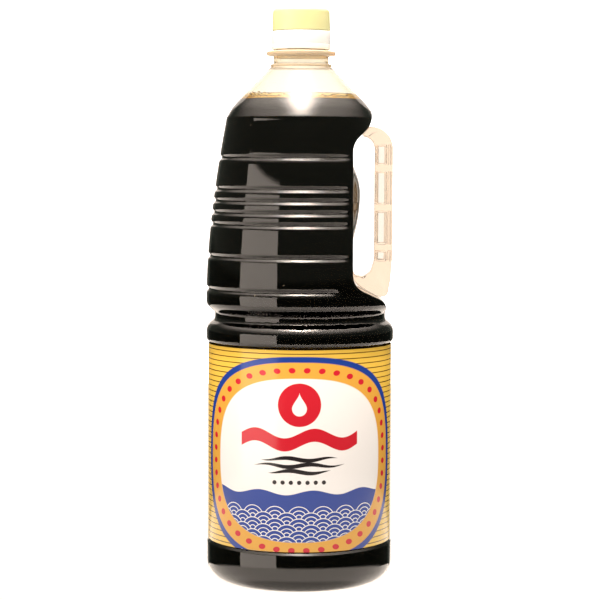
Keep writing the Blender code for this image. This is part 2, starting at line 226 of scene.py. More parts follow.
def groove_depth(height):
    """How deep the wall is pressed in at a height."""
    off = min(abs(height - middle) for middle in GROOVE_HEIGHTS) / GROOVE_HALF
    return GROOVE_DEPTH * (0.5 + 0.5 * math.cos(math.pi * min(1.0, off)))


def wall_points():
    """The grip wall from its first groove to the shoulder, finely cut where a groove bends it."""
    points = []
    height = TAPER_START
    while height < CORNER_HEIGHT - 3 * MM:
        points.append((grip_wall(height) - groove_depth(height), height))
        near = min(abs(height - middle) for middle in GROOVE_HEIGHTS) < GROOVE_HALF + 0.4 * MM
        height += FINE_ROW if near else COARSE_ROW
    return points


print("grip wall rows", len(wall_points()))

# %% [markdown]
# ## The outline of the bottle's skin
# From the dome under the base it runs round the standing ring, up the label panel, over the
# bead, in at the waist and out again, up the grip wall, and over the shoulder's cone to the neck.
# Corners are given with the radius that rounds them, because a sharp corner on blown plastic
# looks wrong at once. The inner skin is the same outline moved in along its own normals.

# %% Body outline
FOOT_INNER = 37.0 * MM
FOOT_OUTER = 39.4 * MM
PUSH_UP = 9.0 * MM
DOME_POWER = 3.2  # how flat the dome under the base is
CONE_START = 260 * MM
FINE_FROM = 140 * MM  # rows are close together between these two heights
FINE_TO = 262 * MM
BASE_RADIUS = 50.7 * MM
LOWER_SIDES = in_metres([
    (50.7, 11.3, 0),
    (50.7, 21.3, 0.8),
    (49.5, 22.9, 0.8),
    (49.5, 130.9, 0.8),
    (51.4, 132.5, 3.0),
    (51.4, 139.9, 6.1),
    (46.8, 143.7, 3.0),
    (46.8, 147.4, 2.0),
    (51.5, 151.6, 4.4),
    (51.5, 157.5, 0),
])
SHOULDER = in_metres([
    (40.95, 251.6, 0),
    (40.7, 253.2, 0.5),
    (37.2, 259.2, 25.0),
    (16.6, 280.8, 0),
])


def body_outline():
    """The skin's outline from the middle of the underside to the top of the shoulder's cone."""
    shares = [i / 9 for i in range(10)]
    points = [(FOOT_INNER * s, PUSH_UP * (1 - s ** DOME_POWER)) for s in shares]
    corner = BASE_RADIUS - FOOT_OUTER
    points += arc(FOOT_OUTER, corner, corner, -90, 0, 8)
    points += round_corners(LOWER_SIDES, 6)
    points += wall_points()
    points += round_corners(SHOULDER)
    return clean_outline(points)


def fill_gaps(points, longest):
    """Add points where the outline crosses the recess's heights in steps that are too long."""
    filled = [points[0]]
    for (x, z), (next_x, next_z) in zip(points, points[1:]):
        steps = 1
        if FINE_FROM < z < FINE_TO:
            steps = max(1, math.ceil(math.dist((x, z), (next_x, next_z)) / longest))
        for i in range(1, steps + 1):
            filled.append((x + (next_x - x) * i / steps, z + (next_z - z) * i / steps))
    return filled


def moved_in(points, inset):
    """The outline moved inwards along its own normals, on the axis straight up or down."""
    moved = []
    for i, (x, z) in enumerate(points):
        before = Vector(points[max(0, i - 1)])
        after = Vector(points[min(len(points) - 1, i + 1)])
        along = (after - before).normalized()
        normal = Vector((along.y, -along.x))
        if x < ON_AXIS:
            normal = Vector((0, -1 if z < 100 * MM else 1))
        moved.append((max(0.0, x - normal.x * inset), z - normal.y * inset))
    return moved


body = fill_gaps(body_outline(), COARSE_ROW)
print("body outline", len(body), "points, widest", round(max(x for x, _ in body), 4))

# %% [markdown]
# ## The finger recess
# Behind the grip the bottle is pressed flat: seen from the side there is a sloping shelf below,
# a straight floor, and a roof that slopes back out to the shoulder. That side profile is cut
# straight across the bottle. A Boolean would leave long thin triangles that spoil the gloss, so
# the turned skin is pressed instead: its columns slide round until one falls on the recess's
# edge, and those inside it are pushed back. The grooves run out beside it.

# %% Recess profile
SHELF_ARC = (38.0 * MM, 169.7 * MM, 10.0 * MM)  # centre in X and Z, radius
SHELF_TURN = 63
SHELF_END_X = 43.2 * MM
SHELF_NOSE = 6.4 * MM
ROOF_ARC = (39.0 * MM, 234.5 * MM, 11.0 * MM)
ROOF_TURN = 45
ROOF_END_X = 35.1 * MM
ROOF_NOSE = 12.0 * MM
WAIST_LINE = 146.0 * MM
SHOULDER_LINE = 257.0 * MM
PAD_RISE = 4.8 * MM
PAD_MIDDLE = 212.0 * MM
PAD_UP = 16.8 * MM
PAD_DOWN = 28.2 * MM
PAD_HALF_WIDTH = 22.0 * MM


def recess_outline(inset=0.0):
    """The recess's side profile, from the waist to the shoulder, moved into the bottle by inset."""
    low = math.radians(SHELF_TURN)
    high = math.radians(ROOF_TURN)
    shelf_x, shelf_z, shelf_radius = SHELF_ARC
    roof_x, roof_z, roof_radius = ROOF_ARC
    shelf_end = arc(shelf_x, shelf_z, shelf_radius, 180 + SHELF_TURN, 180)[0]
    nose_x = SHELF_END_X - SHELF_NOSE * math.cos(low)
    drop = (SHELF_END_X - shelf_end[0]) / math.tan(low) + SHELF_NOSE * math.sin(low)
    roof_end = arc(roof_x, roof_z, roof_radius, 180, 180 - ROOF_TURN)[-1]
    brow_x = ROOF_END_X - ROOF_NOSE * math.cos(high)
    rise = (ROOF_END_X - roof_end[0]) / math.tan(high) + ROOF_NOSE * math.sin(high)
    nose = arc(nose_x, shelf_end[1] - drop, SHELF_NOSE - inset, 0, SHELF_TURN, 8)
    shelf = arc(shelf_x, shelf_z, shelf_radius + inset, 180 + SHELF_TURN, 180, 10)
    roof = arc(roof_x, roof_z, roof_radius + inset, 180, 180 - ROOF_TURN, 8)
    brow = arc(brow_x, roof_end[1] + rise, ROOF_NOSE - inset, -ROOF_TURN, 0, 8)
    return [(nose[0][0], WAIST_LINE)] + nose + shelf + roof + brow + [(brow[-1][0], SHOULDER_LINE)]


def x_at(outline, height):
    """The x of an upward outline at a height, or None above and below it."""
    for (low_x, low_z), (high_x, high_z) in zip(outline, outline[1:]):
        if low_z <= height <= high_z and high_z > low_z:
            return low_x + (high_x - low_x) * (height - low_z) / (high_z - low_z)
    return None


def pad_rise(across, height):
    """How far the recess floor swells out, in a low boss behind the fingers."""
    reach = PAD_UP if height > PAD_MIDDLE else PAD_DOWN
    along = max(0.0, 1 - ((height - PAD_MIDDLE) / reach) ** 2)
    return PAD_RISE * along * max(0.0, 1 - (across / PAD_HALF_WIDTH) ** 2)


print("recess profile", len(recess_outline()), "points")

# %% Press the recess into a turned skin
COLUMNS = 144
FACE_SHARE = 26 / COLUMNS  # share of the columns that cross the recess
SHARE_SLACK = 0.001
EDGE_LEAST = math.radians(6)
EDGE_ROUND = math.radians(14)  # the recess's edge is rounded where it is wider than this
GROOVE_MARGIN = math.radians(2)
GROOVE_FADE = math.radians(6)
LOWEST_GROOVE_END = math.radians(66)
LOWEST_GROOVE_TOP = 164 * MM
RIM_WIDTH = 0.8 * MM


def smooth_step(value):
    """0 below 0, 1 above 1, and an even swing between them."""
    value = min(1.0, max(0.0, value))
    return value * value * (3 - 2 * value)


def recess_edge(floor, plain):
    """Half the angle that the recess takes of a turn of the wall."""
    if floor is None or floor >= plain:
        return EDGE_LEAST
    return max(EDGE_LEAST, math.acos(floor / plain))


def press_recess(piece, inset):
    """Push the finger recess into a skin; gives the vertices on its edge."""
    profile = recess_outline(inset)
    floors = {}
    rim = []
    for vertex in piece.data.vertices:
        x, y, z = vertex.co
        radius = math.hypot(x, y)
        if radius < ON_AXIS:
            continue
        key = round(z, 6)
        if key not in floors:
            floors[key] = x_at(profile, z)
        floor = floors[key]
        depth = groove_depth(z) if TAPER_START < z < CORNER_HEIGHT else 0.0
        plain = radius + depth
        edge = recess_edge(floor, plain)
        share = abs(math.atan2(y, x)) / math.pi
        angle = edge * share / FACE_SHARE
        if share > FACE_SHARE:
            angle = edge + (math.pi - edge) * (share - FACE_SHARE) / (1 - FACE_SHARE)
        groove_end = max(edge + GROOVE_MARGIN, LOWEST_GROOVE_END if z < LOWEST_GROOVE_TOP else 0)
        reach = plain - depth * smooth_step((angle - groove_end) / GROOVE_FADE)
        faces_floor = floor is not None and angle < math.pi / 2
        on_floor = faces_floor and floor / max(0.01, math.cos(angle)) < reach
        if on_floor and share < FACE_SHARE + SHARE_SLACK:
            reach = floor / math.cos(angle)
        x = reach * math.cos(angle)
        y = math.copysign(reach * math.sin(angle), y)
        if on_floor and share < FACE_SHARE - SHARE_SLACK:
            x += pad_rise(y, z)
        if edge > EDGE_ROUND and abs(share - FACE_SHARE) < SHARE_SLACK:
            rim.append(vertex.index)
        vertex.co = (x, y, z)
    piece.data.update()
    return rim


def round_rim(piece, rim, width):
    """Bevel the recess's two long edges."""
    marked = set(rim)
    start_edit(piece)
    bpy.ops.mesh.select_all(action="DESELECT")
    end_edit()
    for edge in piece.data.edges:
        edge.select = edge.vertices[0] in marked and edge.vertices[1] in marked
    bpy.ops.object.mode_set(mode="EDIT")
    bpy.ops.mesh.select_mode(type="EDGE")
    bpy.ops.mesh.bevel(offset=width, segments=2, affect="EDGES", clamp_overlap=False)
    bpy.ops.mesh.select_mode(type="VERT")
    end_edit()


def recessed_skin(name, points, inset):
    """Turn an outline, press the recess into it and round the recess's edge."""
    piece = draw_outline(name, points)
    turn(piece, COLUMNS)
    rim = press_recess(piece, inset)
    round_rim(piece, rim, RIM_WIDTH)
    print(name, "recess edge", len(rim), "points")
    return piece


# %% [markdown]
# ## The bottle
# The neck is short. A solid flange stands out under the white collar, and the finish that
# carries the cap goes up inside it. The outer and the inner skin meet at the mouth, so the
# bottle is one closed wall, and light bends at both of its faces as it does in the real one.
# The inner skin is turned inside out, because its faces have to look away from the plastic.

# %% Bottle
WALL = 0.7 * MM
BORE_START = 279.5 * MM  # the inner skin leaves the cone here
NECK = in_metres([
    (16.6, 280.8, 0),
    (16.9, 281.9, 0.6),
    (15.0, 282.8, 0.9),
    (15.0, 286.6, 0.6),
    (18.5, 287.0, 0.6),
    (18.9, 287.6, 0.4),
    (18.9, 288.8, 0.4),
    (18.3, 289.3, 0.4),
    (13.6, 289.3, 0.3),
    (13.6, 310.8, 0.4),
    (13.0, 310.8, 0),
])
BORE = in_metres([
    (14.6, 281.2, 1.5),
    (13.5, 283.5, 2.0),
    (13.3, 288.0, 1.5),
    (12.4, 290.0, 1.5),
    (12.4, 310.4, 0.4),
    (13.0, 310.8, 0),
])


def make_bottle():
    """The outer and the inner skin, joined at the mouth."""
    outer = recessed_skin("bottle_shell", clean_outline(body + round_corners(NECK)), 0.0)
    inside = moved_in(body, WALL)
    inside_top = [point for point in inside if point[1] < BORE_START]
    bore = round_corners([(*inside_top[-1], 0)] + BORE)
    inner = recessed_skin("inner_skin", clean_outline(inside_top + bore), WALL)
    face(outer, outwards=True)
    face(inner, outwards=False)
    select_only(outer)
    inner.select_set(True)
    bpy.ops.object.join()
    start_edit(outer)
    bpy.ops.mesh.remove_doubles(threshold=ONE_POINT)
    end_edit()
    smooth(outer, 40)
    return outer


bottle = make_bottle()
print("bottle", len(bottle.data.polygons), "faces")

# %% [markdown]
# ## The sauce
# The sauce fills the bottle to the lower part of the shoulder's cone. It reaches a little way into
# the wall, so that no air gap shows between the two. Its surface lies a trace lower than the film
# that it leaves on the wall, and that film is the only place where so dark a liquid lets its
# amber through.

# %% Sauce
INTO_WALL = 0.35 * MM  # how far under the outer skin the sauce ends
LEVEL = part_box("soy_sauce")[1].z
SURFACE = LEVEL - 1.3 * MM  # the middle lies lower than the film on the wall
FILM_SHAPE = in_metres([  # height over the surface and thickness of the film
    (3.0, 0.3),
    (2.0, 0.36),
    (1.2, 0.4),
    (0.35, 0.48),
    (0.08, 1.2),
    (0.0, 3.0),
])


def make_sauce():
    """The sauce's skin: the body's, then the film on the cone and the flat surface."""
    side = moved_in(body, INTO_WALL)
    below = [point for point in side if point[1] < SURFACE]
    cone = [point for point in side if point[1] > CONE_START]
    highest = SURFACE + FILM_SHAPE[0][0]
    top = [(x_at(cone, highest), highest)]
    for rise, thick in FILM_SHAPE:
        top.append((x_at(cone, SURFACE + rise) - thick, SURFACE + rise))
    top.append((0, SURFACE))
    piece = recessed_skin("sauce_body", clean_outline(below + top), INTO_WALL)
    smooth(piece, 40)
    return piece


sauce = make_sauce()
print("sauce", len(sauce.data.polygons), "faces, level", round(LEVEL, 4))

# %% [markdown]
# ## Bubbles on the sauce
# Handling leaves a broken ring of small bubbles where the sauce meets the wall. They are little
# balls of 80 faces, set round the cone's inside by steps of the golden angle, heaped a little
# higher on two sides, and joined into one piece.

# %% Bubbles
BUBBLES = 150
GOLDEN_ANGLE = math.radians(137.5)
FOAM_WALL = 0.6 * MM  # how far the bubbles keep off the inside of the wall
FOAM_HEIGHT = 3.0 * MM
HEAP_SIDE = math.radians(205)  # they lie highest here and on the opposite side


def make_bubbles():
    """Balls of varied size near the wall, in a ring on the sauce."""
    chance = random.Random(7)
    inner = [point for point in moved_in(body, WALL) if point[1] > CONE_START]
    balls = []
    for number in range(BUBBLES):
        angle = number * GOLDEN_ANGLE
        heap = 0.45 + 0.55 * math.cos(angle - HEAP_SIDE) ** 2
        radius = chance.uniform(0.35, 0.95) * MM
        height = SURFACE + 0.7 * MM + chance.uniform(0, FOAM_HEIGHT) * heap
        out = x_at(inner, height) - radius - FOAM_WALL
        place = (out * math.cos(angle), out * math.sin(angle), height)
        bpy.ops.mesh.primitive_ico_sphere_add(subdivisions=2, radius=radius, location=place)
        balls.append(bpy.context.object)
    for ball in balls:
        ball.select_set(True)
    bpy.ops.object.join()
    foam = bpy.context.object
    foam.name = "foam_bubbles"
    bpy.ops.object.transform_apply(location=True, rotation=True, scale=True)
    bpy.context.scene.cursor.location = (0, 0, 0)
    bpy.ops.object.origin_set(type="ORIGIN_CURSOR")
    smooth(foam, 60)
    return foam


foam = make_bubbles()
print("bubbles", len(foam.data.polygons), "faces")

# %% [markdown]
# ## The grip
# The grip is a separate moulding that bridges the recess. Its side view is an arch above, a
# straight outer flange, and a broad foot that sits on the sloping shelf. It is drawn as that
# side view, filled, drawn out to its width and rounded along its edges. Pockets on both sides
# leave a thin web and three cross ribs, as moulders do to save plastic, and each pocket has a
# shallow slot beside it. Rounded blocks are subtracted for them all with a Boolean.

# %% Grip outline
GAP = 0.3 * MM
GRIP_LOW, GRIP_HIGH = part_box("grip")
HALF_WIDTH = GRIP_HIGH.y
OUTER_X = GRIP_HIGH.x
INNER_X = 40.4 * MM
GRIP_TOP = GRIP_HIGH.z
GRIP_SOLE = GRIP_LOW.z
ARCH_THICKNESS = 5.5 * MM
TIP = 1.2 * MM
GRIP_ROUND = 1.5 * MM
SEAT_ROUND = 0.2 * MM
FREE_DEPTH = 2.6 * MM  # points this far off the recess get the full rounding


def grip_side():
    """The grip's side view, anticlockwise from the toe of its foot."""
    seat = recess_outline(-GAP)
    underside = GRIP_TOP - ARCH_THICKNESS
    toe_top = 169.5 * MM
    lower = [(x, z) for x, z in seat if GRIP_SOLE + 0.3 * MM < z < toe_top - MM][::-1]
    upper = [(x, z) for x, z in seat if underside + TIP + 0.5 * MM < z < GRIP_TOP - 0.5 * MM][::-1]
    toe_x = x_at(seat, toe_top)
    points = [(toe_x + TIP, toe_top), (toe_x, toe_top - 0.4 * MM)] + lower
    heel = [
        (x_at(seat, GRIP_SOLE), GRIP_SOLE, 0),
        (47.6 * MM, GRIP_SOLE + 0.6 * MM, 3.0 * MM),
        (49.2 * MM, 165.0 * MM, 12 * MM),
        (OUTER_X, 177.8 * MM, 12 * MM),
        (OUTER_X, GRIP_TOP - 12.2 * MM, 0),
    ]
    points += round_corners(heel)
    points += arc(OUTER_X - 12 * MM, GRIP_TOP - 12 * MM, 12 * MM, 0, 90, 14)
    points += [(x_at(seat, GRIP_TOP), GRIP_TOP)] + upper
    points += [(x_at(seat, underside + TIP), underside + TIP)]
    points += [(x_at(seat, underside + TIP) + 0.6 * MM, underside)]
    points += arc(INNER_X - 6.5 * MM, underside - 6.5 * MM, 6.5 * MM, 90, 0, 9)
    gusset = [
        (INNER_X, underside - 7 * MM, 0),
        (INNER_X, 176.0 * MM, 8 * MM),
        (38.4 * MM, 169.6 * MM, 3 * MM),
        (34.6 * MM, 166.9 * MM, 3 * MM),
        (toe_x + TIP + 0.6 * MM, toe_top - 1.6 * MM, 0),
    ]
    points += round_corners(gusset, 5)
    return clean_outline(points, 0.12 * MM)


def rounding_room(points):
    """How far each point of the side view may move in when the long edges are rounded."""
    seat = recess_outline(-GAP)
    room = []
    for x, z in points:
        floor = x_at(seat, z)
        free = floor is not None and x - floor > FREE_DEPTH
        room.append(GRIP_ROUND if free else SEAT_ROUND)
    for _ in range(6):
        around = zip(room[-1:] + room[:-1], room, room[1:] + room[:1])
        room = [min(here, (before + here + after) / 3) for before, here, after in around]
    return room


def rounded_slab(name, points):
    """Fill a side view, draw it out along Y in layers and pull the outer layers in."""
    piece = draw_outline(name, points)
    start_edit(piece)
    bpy.ops.mesh.edge_face_add()
    bpy.ops.mesh.select_all(action="SELECT")
    bpy.ops.transform.translate(value=(0, -HALF_WIDTH, 0))
    turns = [math.radians(90 * i / 5) for i in range(6)]
    depths = [GRIP_ROUND * (1 - math.cos(t)) - HALF_WIDTH for t in turns]
    depths += [-depth for depth in reversed(depths)]
    pulls = [1 - math.sin(t) for t in turns]
    pulls += pulls[::-1]
    for near, far in zip(depths, depths[1:]):
        layer = {"value": (0, far - near, 0)}
        bpy.ops.mesh.extrude_region_move(TRANSFORM_OT_translate=layer)
    bpy.ops.mesh.select_all(action="SELECT")
    bpy.ops.mesh.normals_make_consistent(inside=False)
    end_edit()
    room = rounding_room(points)
    inner = {}
    for i, (x, z) in enumerate(points):
        before = Vector(points[i - 1])
        after = Vector(points[(i + 1) % len(points)])
        along = (after - before).normalized()
        inner[(round(x, 6), round(z, 6))] = Vector((-along.y, along.x)) * room[i]
    for vertex in piece.data.vertices:
        x, y, z = vertex.co
        layer = min(range(len(depths)), key=lambda i: abs(depths[i] - y))
        pull = inner[(round(x, 6), round(z, 6))] * pulls[layer]
        vertex.co = (x + pull.x, y, z + pull.y)
    piece.data.update()
    return piece


grip_blank = rounded_slab("grip_moulding", grip_side())
print("grip blank", len(grip_blank.data.polygons), "faces")

# %% Grip pockets
POCKET = (41.6 * MM, 46.9 * MM)  # from the finger side outwards
SLOT = (47.9 * MM, 49.1 * MM)
SLOT_DEPTH = 1.6 * MM
POCKET_BOTTOM = 175.5 * MM
POCKET_TOP = 239.0 * MM
RIBS = [182.8 * MM, 204.5 * MM, 226.2 * MM]
RIB_THICKNESS = 3.4 * MM
RIB_MIDDLE = 45.2 * MM
RIB_REACH = (4.9 * MM, HALF_WIDTH + 0.1 * MM, 2.0 * MM)
WEB = 4.0 * MM
POCKET_ROUND = 1.1 * MM
SLOT_ROUND = 0.5 * MM


def pocket_block(side, span, height_span, depth, rounding):
    """One rounded block that hollows one side of the grip between two ribs."""
    bottom, top = height_span
    outside = HALF_WIDTH + MM
    middle = (sum(span) / 2, side * (outside - (depth + MM) / 2), (bottom + top) / 2)
    size = (span[1] - span[0], depth + MM, top - bottom)
    bpy.ops.mesh.primitive_cube_add(size=1, location=middle, scale=size)
    block = bpy.context.object
    start_edit(block)
    bpy.ops.mesh.bevel(offset=rounding, segments=4, affect="EDGES")
    end_edit()
    return block


def cross_rib(height):
    """A flattened ball through the whole width of the grip."""
    bpy.ops.mesh.primitive_uv_sphere_add(
        segments=28, ring_count=18, radius=1,
        location=(RIB_MIDDLE, 0, height), scale=RIB_REACH,
    )
    return bpy.context.object


def combine(piece, tools, operation):
    """Join some shapes into one tool and add it to a piece, or cut it away."""
    bpy.ops.object.select_all(action="DESELECT")
    for tool in tools:
        tool.select_set(True)
    bpy.context.view_layer.objects.active = tools[0]
    if len(tools) > 1:
        bpy.ops.object.join()
    tool = tools[0]
    bpy.ops.object.transform_apply(location=True, rotation=True, scale=True)
    change = piece.modifiers.new("change", "BOOLEAN")
    change.object = tool
    change.operation = operation
    change.solver = "EXACT"
    select_only(piece)
    bpy.ops.object.modifier_apply(modifier="change")
    bpy.data.objects.remove(tool, do_unlink=True)
    print(piece.name, operation.lower(), len(piece.data.polygons), "faces")


def cut_pockets(piece):
    """Hollow both sides of the grip between its ribs, and add the ribs' rounded ends."""
    half = RIB_THICKNESS / 2
    bottoms = [POCKET_BOTTOM] + [z + half for z in RIBS]
    tops = [z - half for z in RIBS] + [POCKET_TOP]
    deep = HALF_WIDTH - WEB / 2
    blocks = []
    for bay in zip(bottoms, tops):
        for side in (-1, 1):
            blocks.append(pocket_block(side, POCKET, bay, deep, POCKET_ROUND))
            blocks.append(pocket_block(side, SLOT, bay, SLOT_DEPTH, SLOT_ROUND))
    combine(piece, blocks, "DIFFERENCE")
    for height in RIBS:
        combine(piece, [cross_rib(height)], "UNION")
    smooth(piece, 40)
    print(piece.name, len(piece.data.polygons), "faces")
    return piece


grip = cut_pockets(grip_blank)

# %% [markdown]
# ## Label, collar and cap
# The label is a sleeve of printed film, a little proud of its panel. The collar is the white ring
# of the closure, and the cap a plain yellow cup with a well rounded top edge. All three are round,
# so each is one closed outline that is spun.

# %% Label, collar and cap
def round_box(node):
    """Radius, lowest and highest height of a round solid of the frame."""
    low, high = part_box(node)
    return high.x, low.z, high.z


LABEL_RADIUS, LABEL_BOTTOM, LABEL_TOP = round_box("label")
FILM = 0.4 * MM
COLLAR_BORE = 13.9 * MM
ALMOST_CLOSED = 0.001 * MM  # a ring's last point is this near its first, and merged


def turned_piece(name, outline, steps):
    """Draw an outline, turn it and shade it smooth."""
    piece = draw_outline(name, clean_outline(outline))
    turn(piece, steps)
    smooth(piece, 40)
    return piece


def make_label():
    """A sleeve of film with slightly rounded edges."""
    inner = LABEL_RADIUS - FILM
    outline = [
        (inner, LABEL_BOTTOM, 0),
        (LABEL_RADIUS, LABEL_BOTTOM, 0.15 * MM),
        (LABEL_RADIUS, LABEL_TOP, 0.15 * MM),
        (inner, LABEL_TOP, 0),
    ]
    points = round_corners(outline, 2) + [(inner, LABEL_BOTTOM + ALMOST_CLOSED)]
    return turned_piece("label_sleeve", points, 180)


def make_collar():
    """The closure's white ring, with one fine line round it."""
    radius, bottom, top = round_box("cap_collar")
    outline = [
        (COLLAR_BORE, bottom, 0),
        (radius, bottom, 0.6 * MM),
        (radius, bottom + 2.6 * MM, 0.2 * MM),
        (radius - 0.15 * MM, bottom + 2.9 * MM, 0.2 * MM),
        (radius, bottom + 3.2 * MM, 0.2 * MM),
        (radius, top, 0.5 * MM),
        (COLLAR_BORE, top, 0),
    ]
    points = round_corners(outline, 3) + [(COLLAR_BORE, bottom + ALMOST_CLOSED)]
    return turned_piece("collar_ring", points, 120)


def make_cap():
    """A cup with thin walls, open below."""
    radius, bottom, top = round_box("cap")
    outline = [
        (0, top - 1.4 * MM, 0),
        (radius - 1.7 * MM, top - 1.4 * MM, 1.0 * MM),
        (radius - 1.4 * MM, bottom, 0.3 * MM),
        (radius, bottom, 0.3 * MM),
        (radius - 0.4 * MM, top, 2.5 * MM),
        (0, top, 0),
    ]
    return turned_piece("cap_cup", round_corners(outline, 8), 120)


label = make_label()
collar = make_collar()
cap = make_cap()

# %% [markdown]
# ## Shader arithmetic
# Masks for a print or a studio are sums on coordinates. Written as nodes they are hard to read,
# so one small class wraps a socket and lets Python's own signs build the Math nodes.

# %% Wire and Graph
class Wire:
    """One socket of a node graph, used in sums like a number."""

    def __init__(self, graph, socket):
        self.graph = graph
        self.socket = socket

    def __add__(self, other):
        return self.graph.maths("ADD", self, other)

    def __sub__(self, other):
        return self.graph.maths("SUBTRACT", self, other)

    def __rsub__(self, other):
        return self.graph.maths("SUBTRACT", other, self)

    def __mul__(self, other):
        return self.graph.maths("MULTIPLY", self, other)

    def __rmul__(self, other):
        return self.graph.maths("MULTIPLY", other, self)

    def __truediv__(self, other):
        return self.graph.maths("DIVIDE", self, other)

    def __pow__(self, other):
        return self.graph.maths("POWER", self, other)

    def __neg__(self):
        return self.graph.maths("MULTIPLY", self, -1)

    def __abs__(self):
        return self.graph.maths("ABSOLUTE", self)


class Graph:
    """Builds the nodes of one material or world."""

    def __init__(self, tree):
        self.tree = tree

    def add(self, kind, settings=None, inputs=None, out=0):
        """Add a node of a type, with its settings and the values or links of its sockets."""
        node = self.tree.nodes.new("ShaderNode" + kind)
        for name, value in (settings or {}).items():
            setattr(node, name, value)
        self.feed(node, inputs or {})
        return Wire(self, node.outputs[out])

    def feed(self, node, inputs):
        """Link wires to a node's sockets, and set the others to plain values."""
        for name, value in inputs.items():
            if isinstance(value, Wire):
                self.tree.links.new(value.socket, node.inputs[name])
            else:
                node.inputs[name].default_value = value

    def maths(self, operation, first, second=None):
        inputs = {0: first} if second is None else {0: first, 1: second}
        return self.add("Math", {"operation": operation}, inputs)

    def length(self, first, second):
        """Length of the vector with these two parts."""
        return self.maths("SQRT", first * first + second * second)

    def least(self, first, second):
        return self.maths("MINIMUM", first, second)

    def most(self, first, second):
        return self.maths("MAXIMUM", first, second)

    def step(self, value, low, high):
        """0 below low, 1 above high, and smooth between them."""
        settings = {"interpolation_type": "SMOOTHSTEP"}
        inputs = {"Value": value, "From Min": low, "From Max": high}
        return self.add("MapRange", settings, inputs)

    def inside(self, value, edge, soft):
        """1 where a value is under an edge."""
        return 1 - self.step(value, edge - soft, edge + soft)

    def mix(self, mask, first, second):
        """The first colour where the mask is 0, the second where it is 1."""
        inputs = {0: mask, 6: first, 7: second}
        return self.add("Mix", {"data_type": "RGBA"}, inputs, 2)

    def split(self, vector):
        """The x, y and z of a vector."""
        node = self.tree.nodes.new("ShaderNodeSeparateXYZ")
        self.feed(node, {0: vector})
        return [Wire(self, socket) for socket in node.outputs]

    def place(self):
        """Object coordinates in metres, as one vector."""
        return self.add("TexCoord", out="Object")

    def show(self, wire, socket="Surface"):
        """Link a shader to the output."""
        self.feed(self.tree.nodes["Material Output"], {socket: wire})

    def absorb(self, tint, density):
        """Let the inside soak up light: the darker a colour's part, the sooner it is gone."""
        inputs = {"Color": tint, "Density": density}
        self.show(self.add("VolumeAbsorption", {}, inputs), "Volume")

    def noise(self, vector, scale, detail=3.0, roughness=0.5):
        inputs = {"Vector": vector, "Scale": scale, "Detail": detail, "Roughness": roughness}
        return self.add("TexNoise", {}, inputs)

    def bump(self, height, strength, distance):
        inputs = {"Height": height, "Strength": strength, "Distance": distance}
        return self.add("Bump", {}, inputs)


def new_material(name):
    """A material with only its Principled shader and output, and its graph."""
    material = bpy.data.materials.new(name)
    material.use_nodes = True
    graph = Graph(material.node_tree)
    shader = material.node_tree.nodes["Principled BSDF"]
    return material, graph, shader


def dress(piece, material):
    """Give a piece one material and no other."""
    piece.data.materials.clear()
    piece.data.materials.append(material)
    print(piece.name, "wears", material.name)


def colour(red, green, blue):
    """A colour as an eyedropper gives it, from 0 to 255, made linear for a shader."""
    linear = []
    for value in (red, green, blue):
        share = value / 255
        linear.append(share / 12.92 if share <= 0.04045 else ((share + 0.055) / 1.055) ** 2.4)
    return (*linear, 1.0)


# %% [markdown]
# ## Clear plastic
# Blown PET bends light strongly, is very smooth and only a little wavy. In a thin wall it looks
# colourless, but edgewise, as in the solid flange, the light travels far through it and turns
# amber, so it soaks up blue in its volume. Where sauce wets the wall's inner face, hardly any
# light is mirrored there, so those faces have an index of refraction close to one. The thick neck
# and the moulded grip are a little cloudy: a haze scatters light, and a lower index keeps dark
# edges out of them. Round the flange and the foot of the neck a cream cloudy band is painted in.
# It is a painted glow that stands in for light shining through those thick parts.

# %% Clear plastics
AMBER = ((1, 1, 1, 1), (0.97, 0.69, 0.0, 1))  # colour of the surface, colour in depth
PEACH = ((0.93, 0.895, 0.86, 1), (1.0, 0.6, 0.2, 1))
# cream of the dust specks, the haze and the painted glow bands
DUST_AND_GLOW_COLOUR = (1.0, 0.86, 0.66, 1)
FLANGE_MIDDLE = 288.2 * MM
NECK_FOOT = 281.2 * MM
AXIS_LOW = 30 * MM  # the span of the axis that the inner skin looks at
AXIS_HIGH = 240 * MM
NECK_START = LEVEL + 2 * MM


def clear_plastic(name, ior, roughness, tint, density, wave, dusty, haze):
    """Clear plastic with a slightly uneven gloss, fine dust, a tint that grows with depth, and
    painted glow bands round the flange and the neck's foot.
    """
    material, graph, shader = new_material(name)
    vector = graph.place()
    height = graph.split(vector)[2]
    patches = graph.noise(vector, 60.0, 4.0)
    ripple = graph.noise(vector, 90.0, 2.0)
    graph.feed(shader, {
        "Base Color": tint[0],
        "Transmission Weight": 1.0,
        "IOR": ior,
        "Roughness": graph.step(patches, 0.35, 0.75) * 0.006 + roughness,
        "Normal": graph.bump(ripple, wave, 0.0004),
    })
    graph.absorb(tint[1], density)
    specks = graph.add("TexVoronoi", {}, {"Vector": vector, "Scale": 200.0})
    rare = graph.step(graph.noise(vector, 130.0, 1.0), 0.56, 0.62)
    # painted glow: cream cloudy bands at the flange and at the neck's foot stand in for light
    # shining through them
    painted_flange_glow = graph.inside(abs(height - FLANGE_MIDDLE), 1.7 * MM, 0.3 * MM) * 0.4
    painted_neck_foot_glow = graph.inside(abs(height - NECK_FOOT), 0.9 * MM, 0.4 * MM) * 0.3
    dust_haze_and_painted_glow = graph.inside(specks, 0.055, 0.02) * rare * dusty + haze + painted_flange_glow + painted_neck_foot_glow
    cloudy_and_painted_glow = graph.add("BsdfDiffuse", {}, {"Color": DUST_AND_GLOW_COLOUR})
    clear = Wire(graph, shader.outputs[0])
    graph.show(graph.add("MixShader", {}, {0: dust_haze_and_painted_glow, 1: clear, 2: cloudy_and_painted_glow}))
    return material


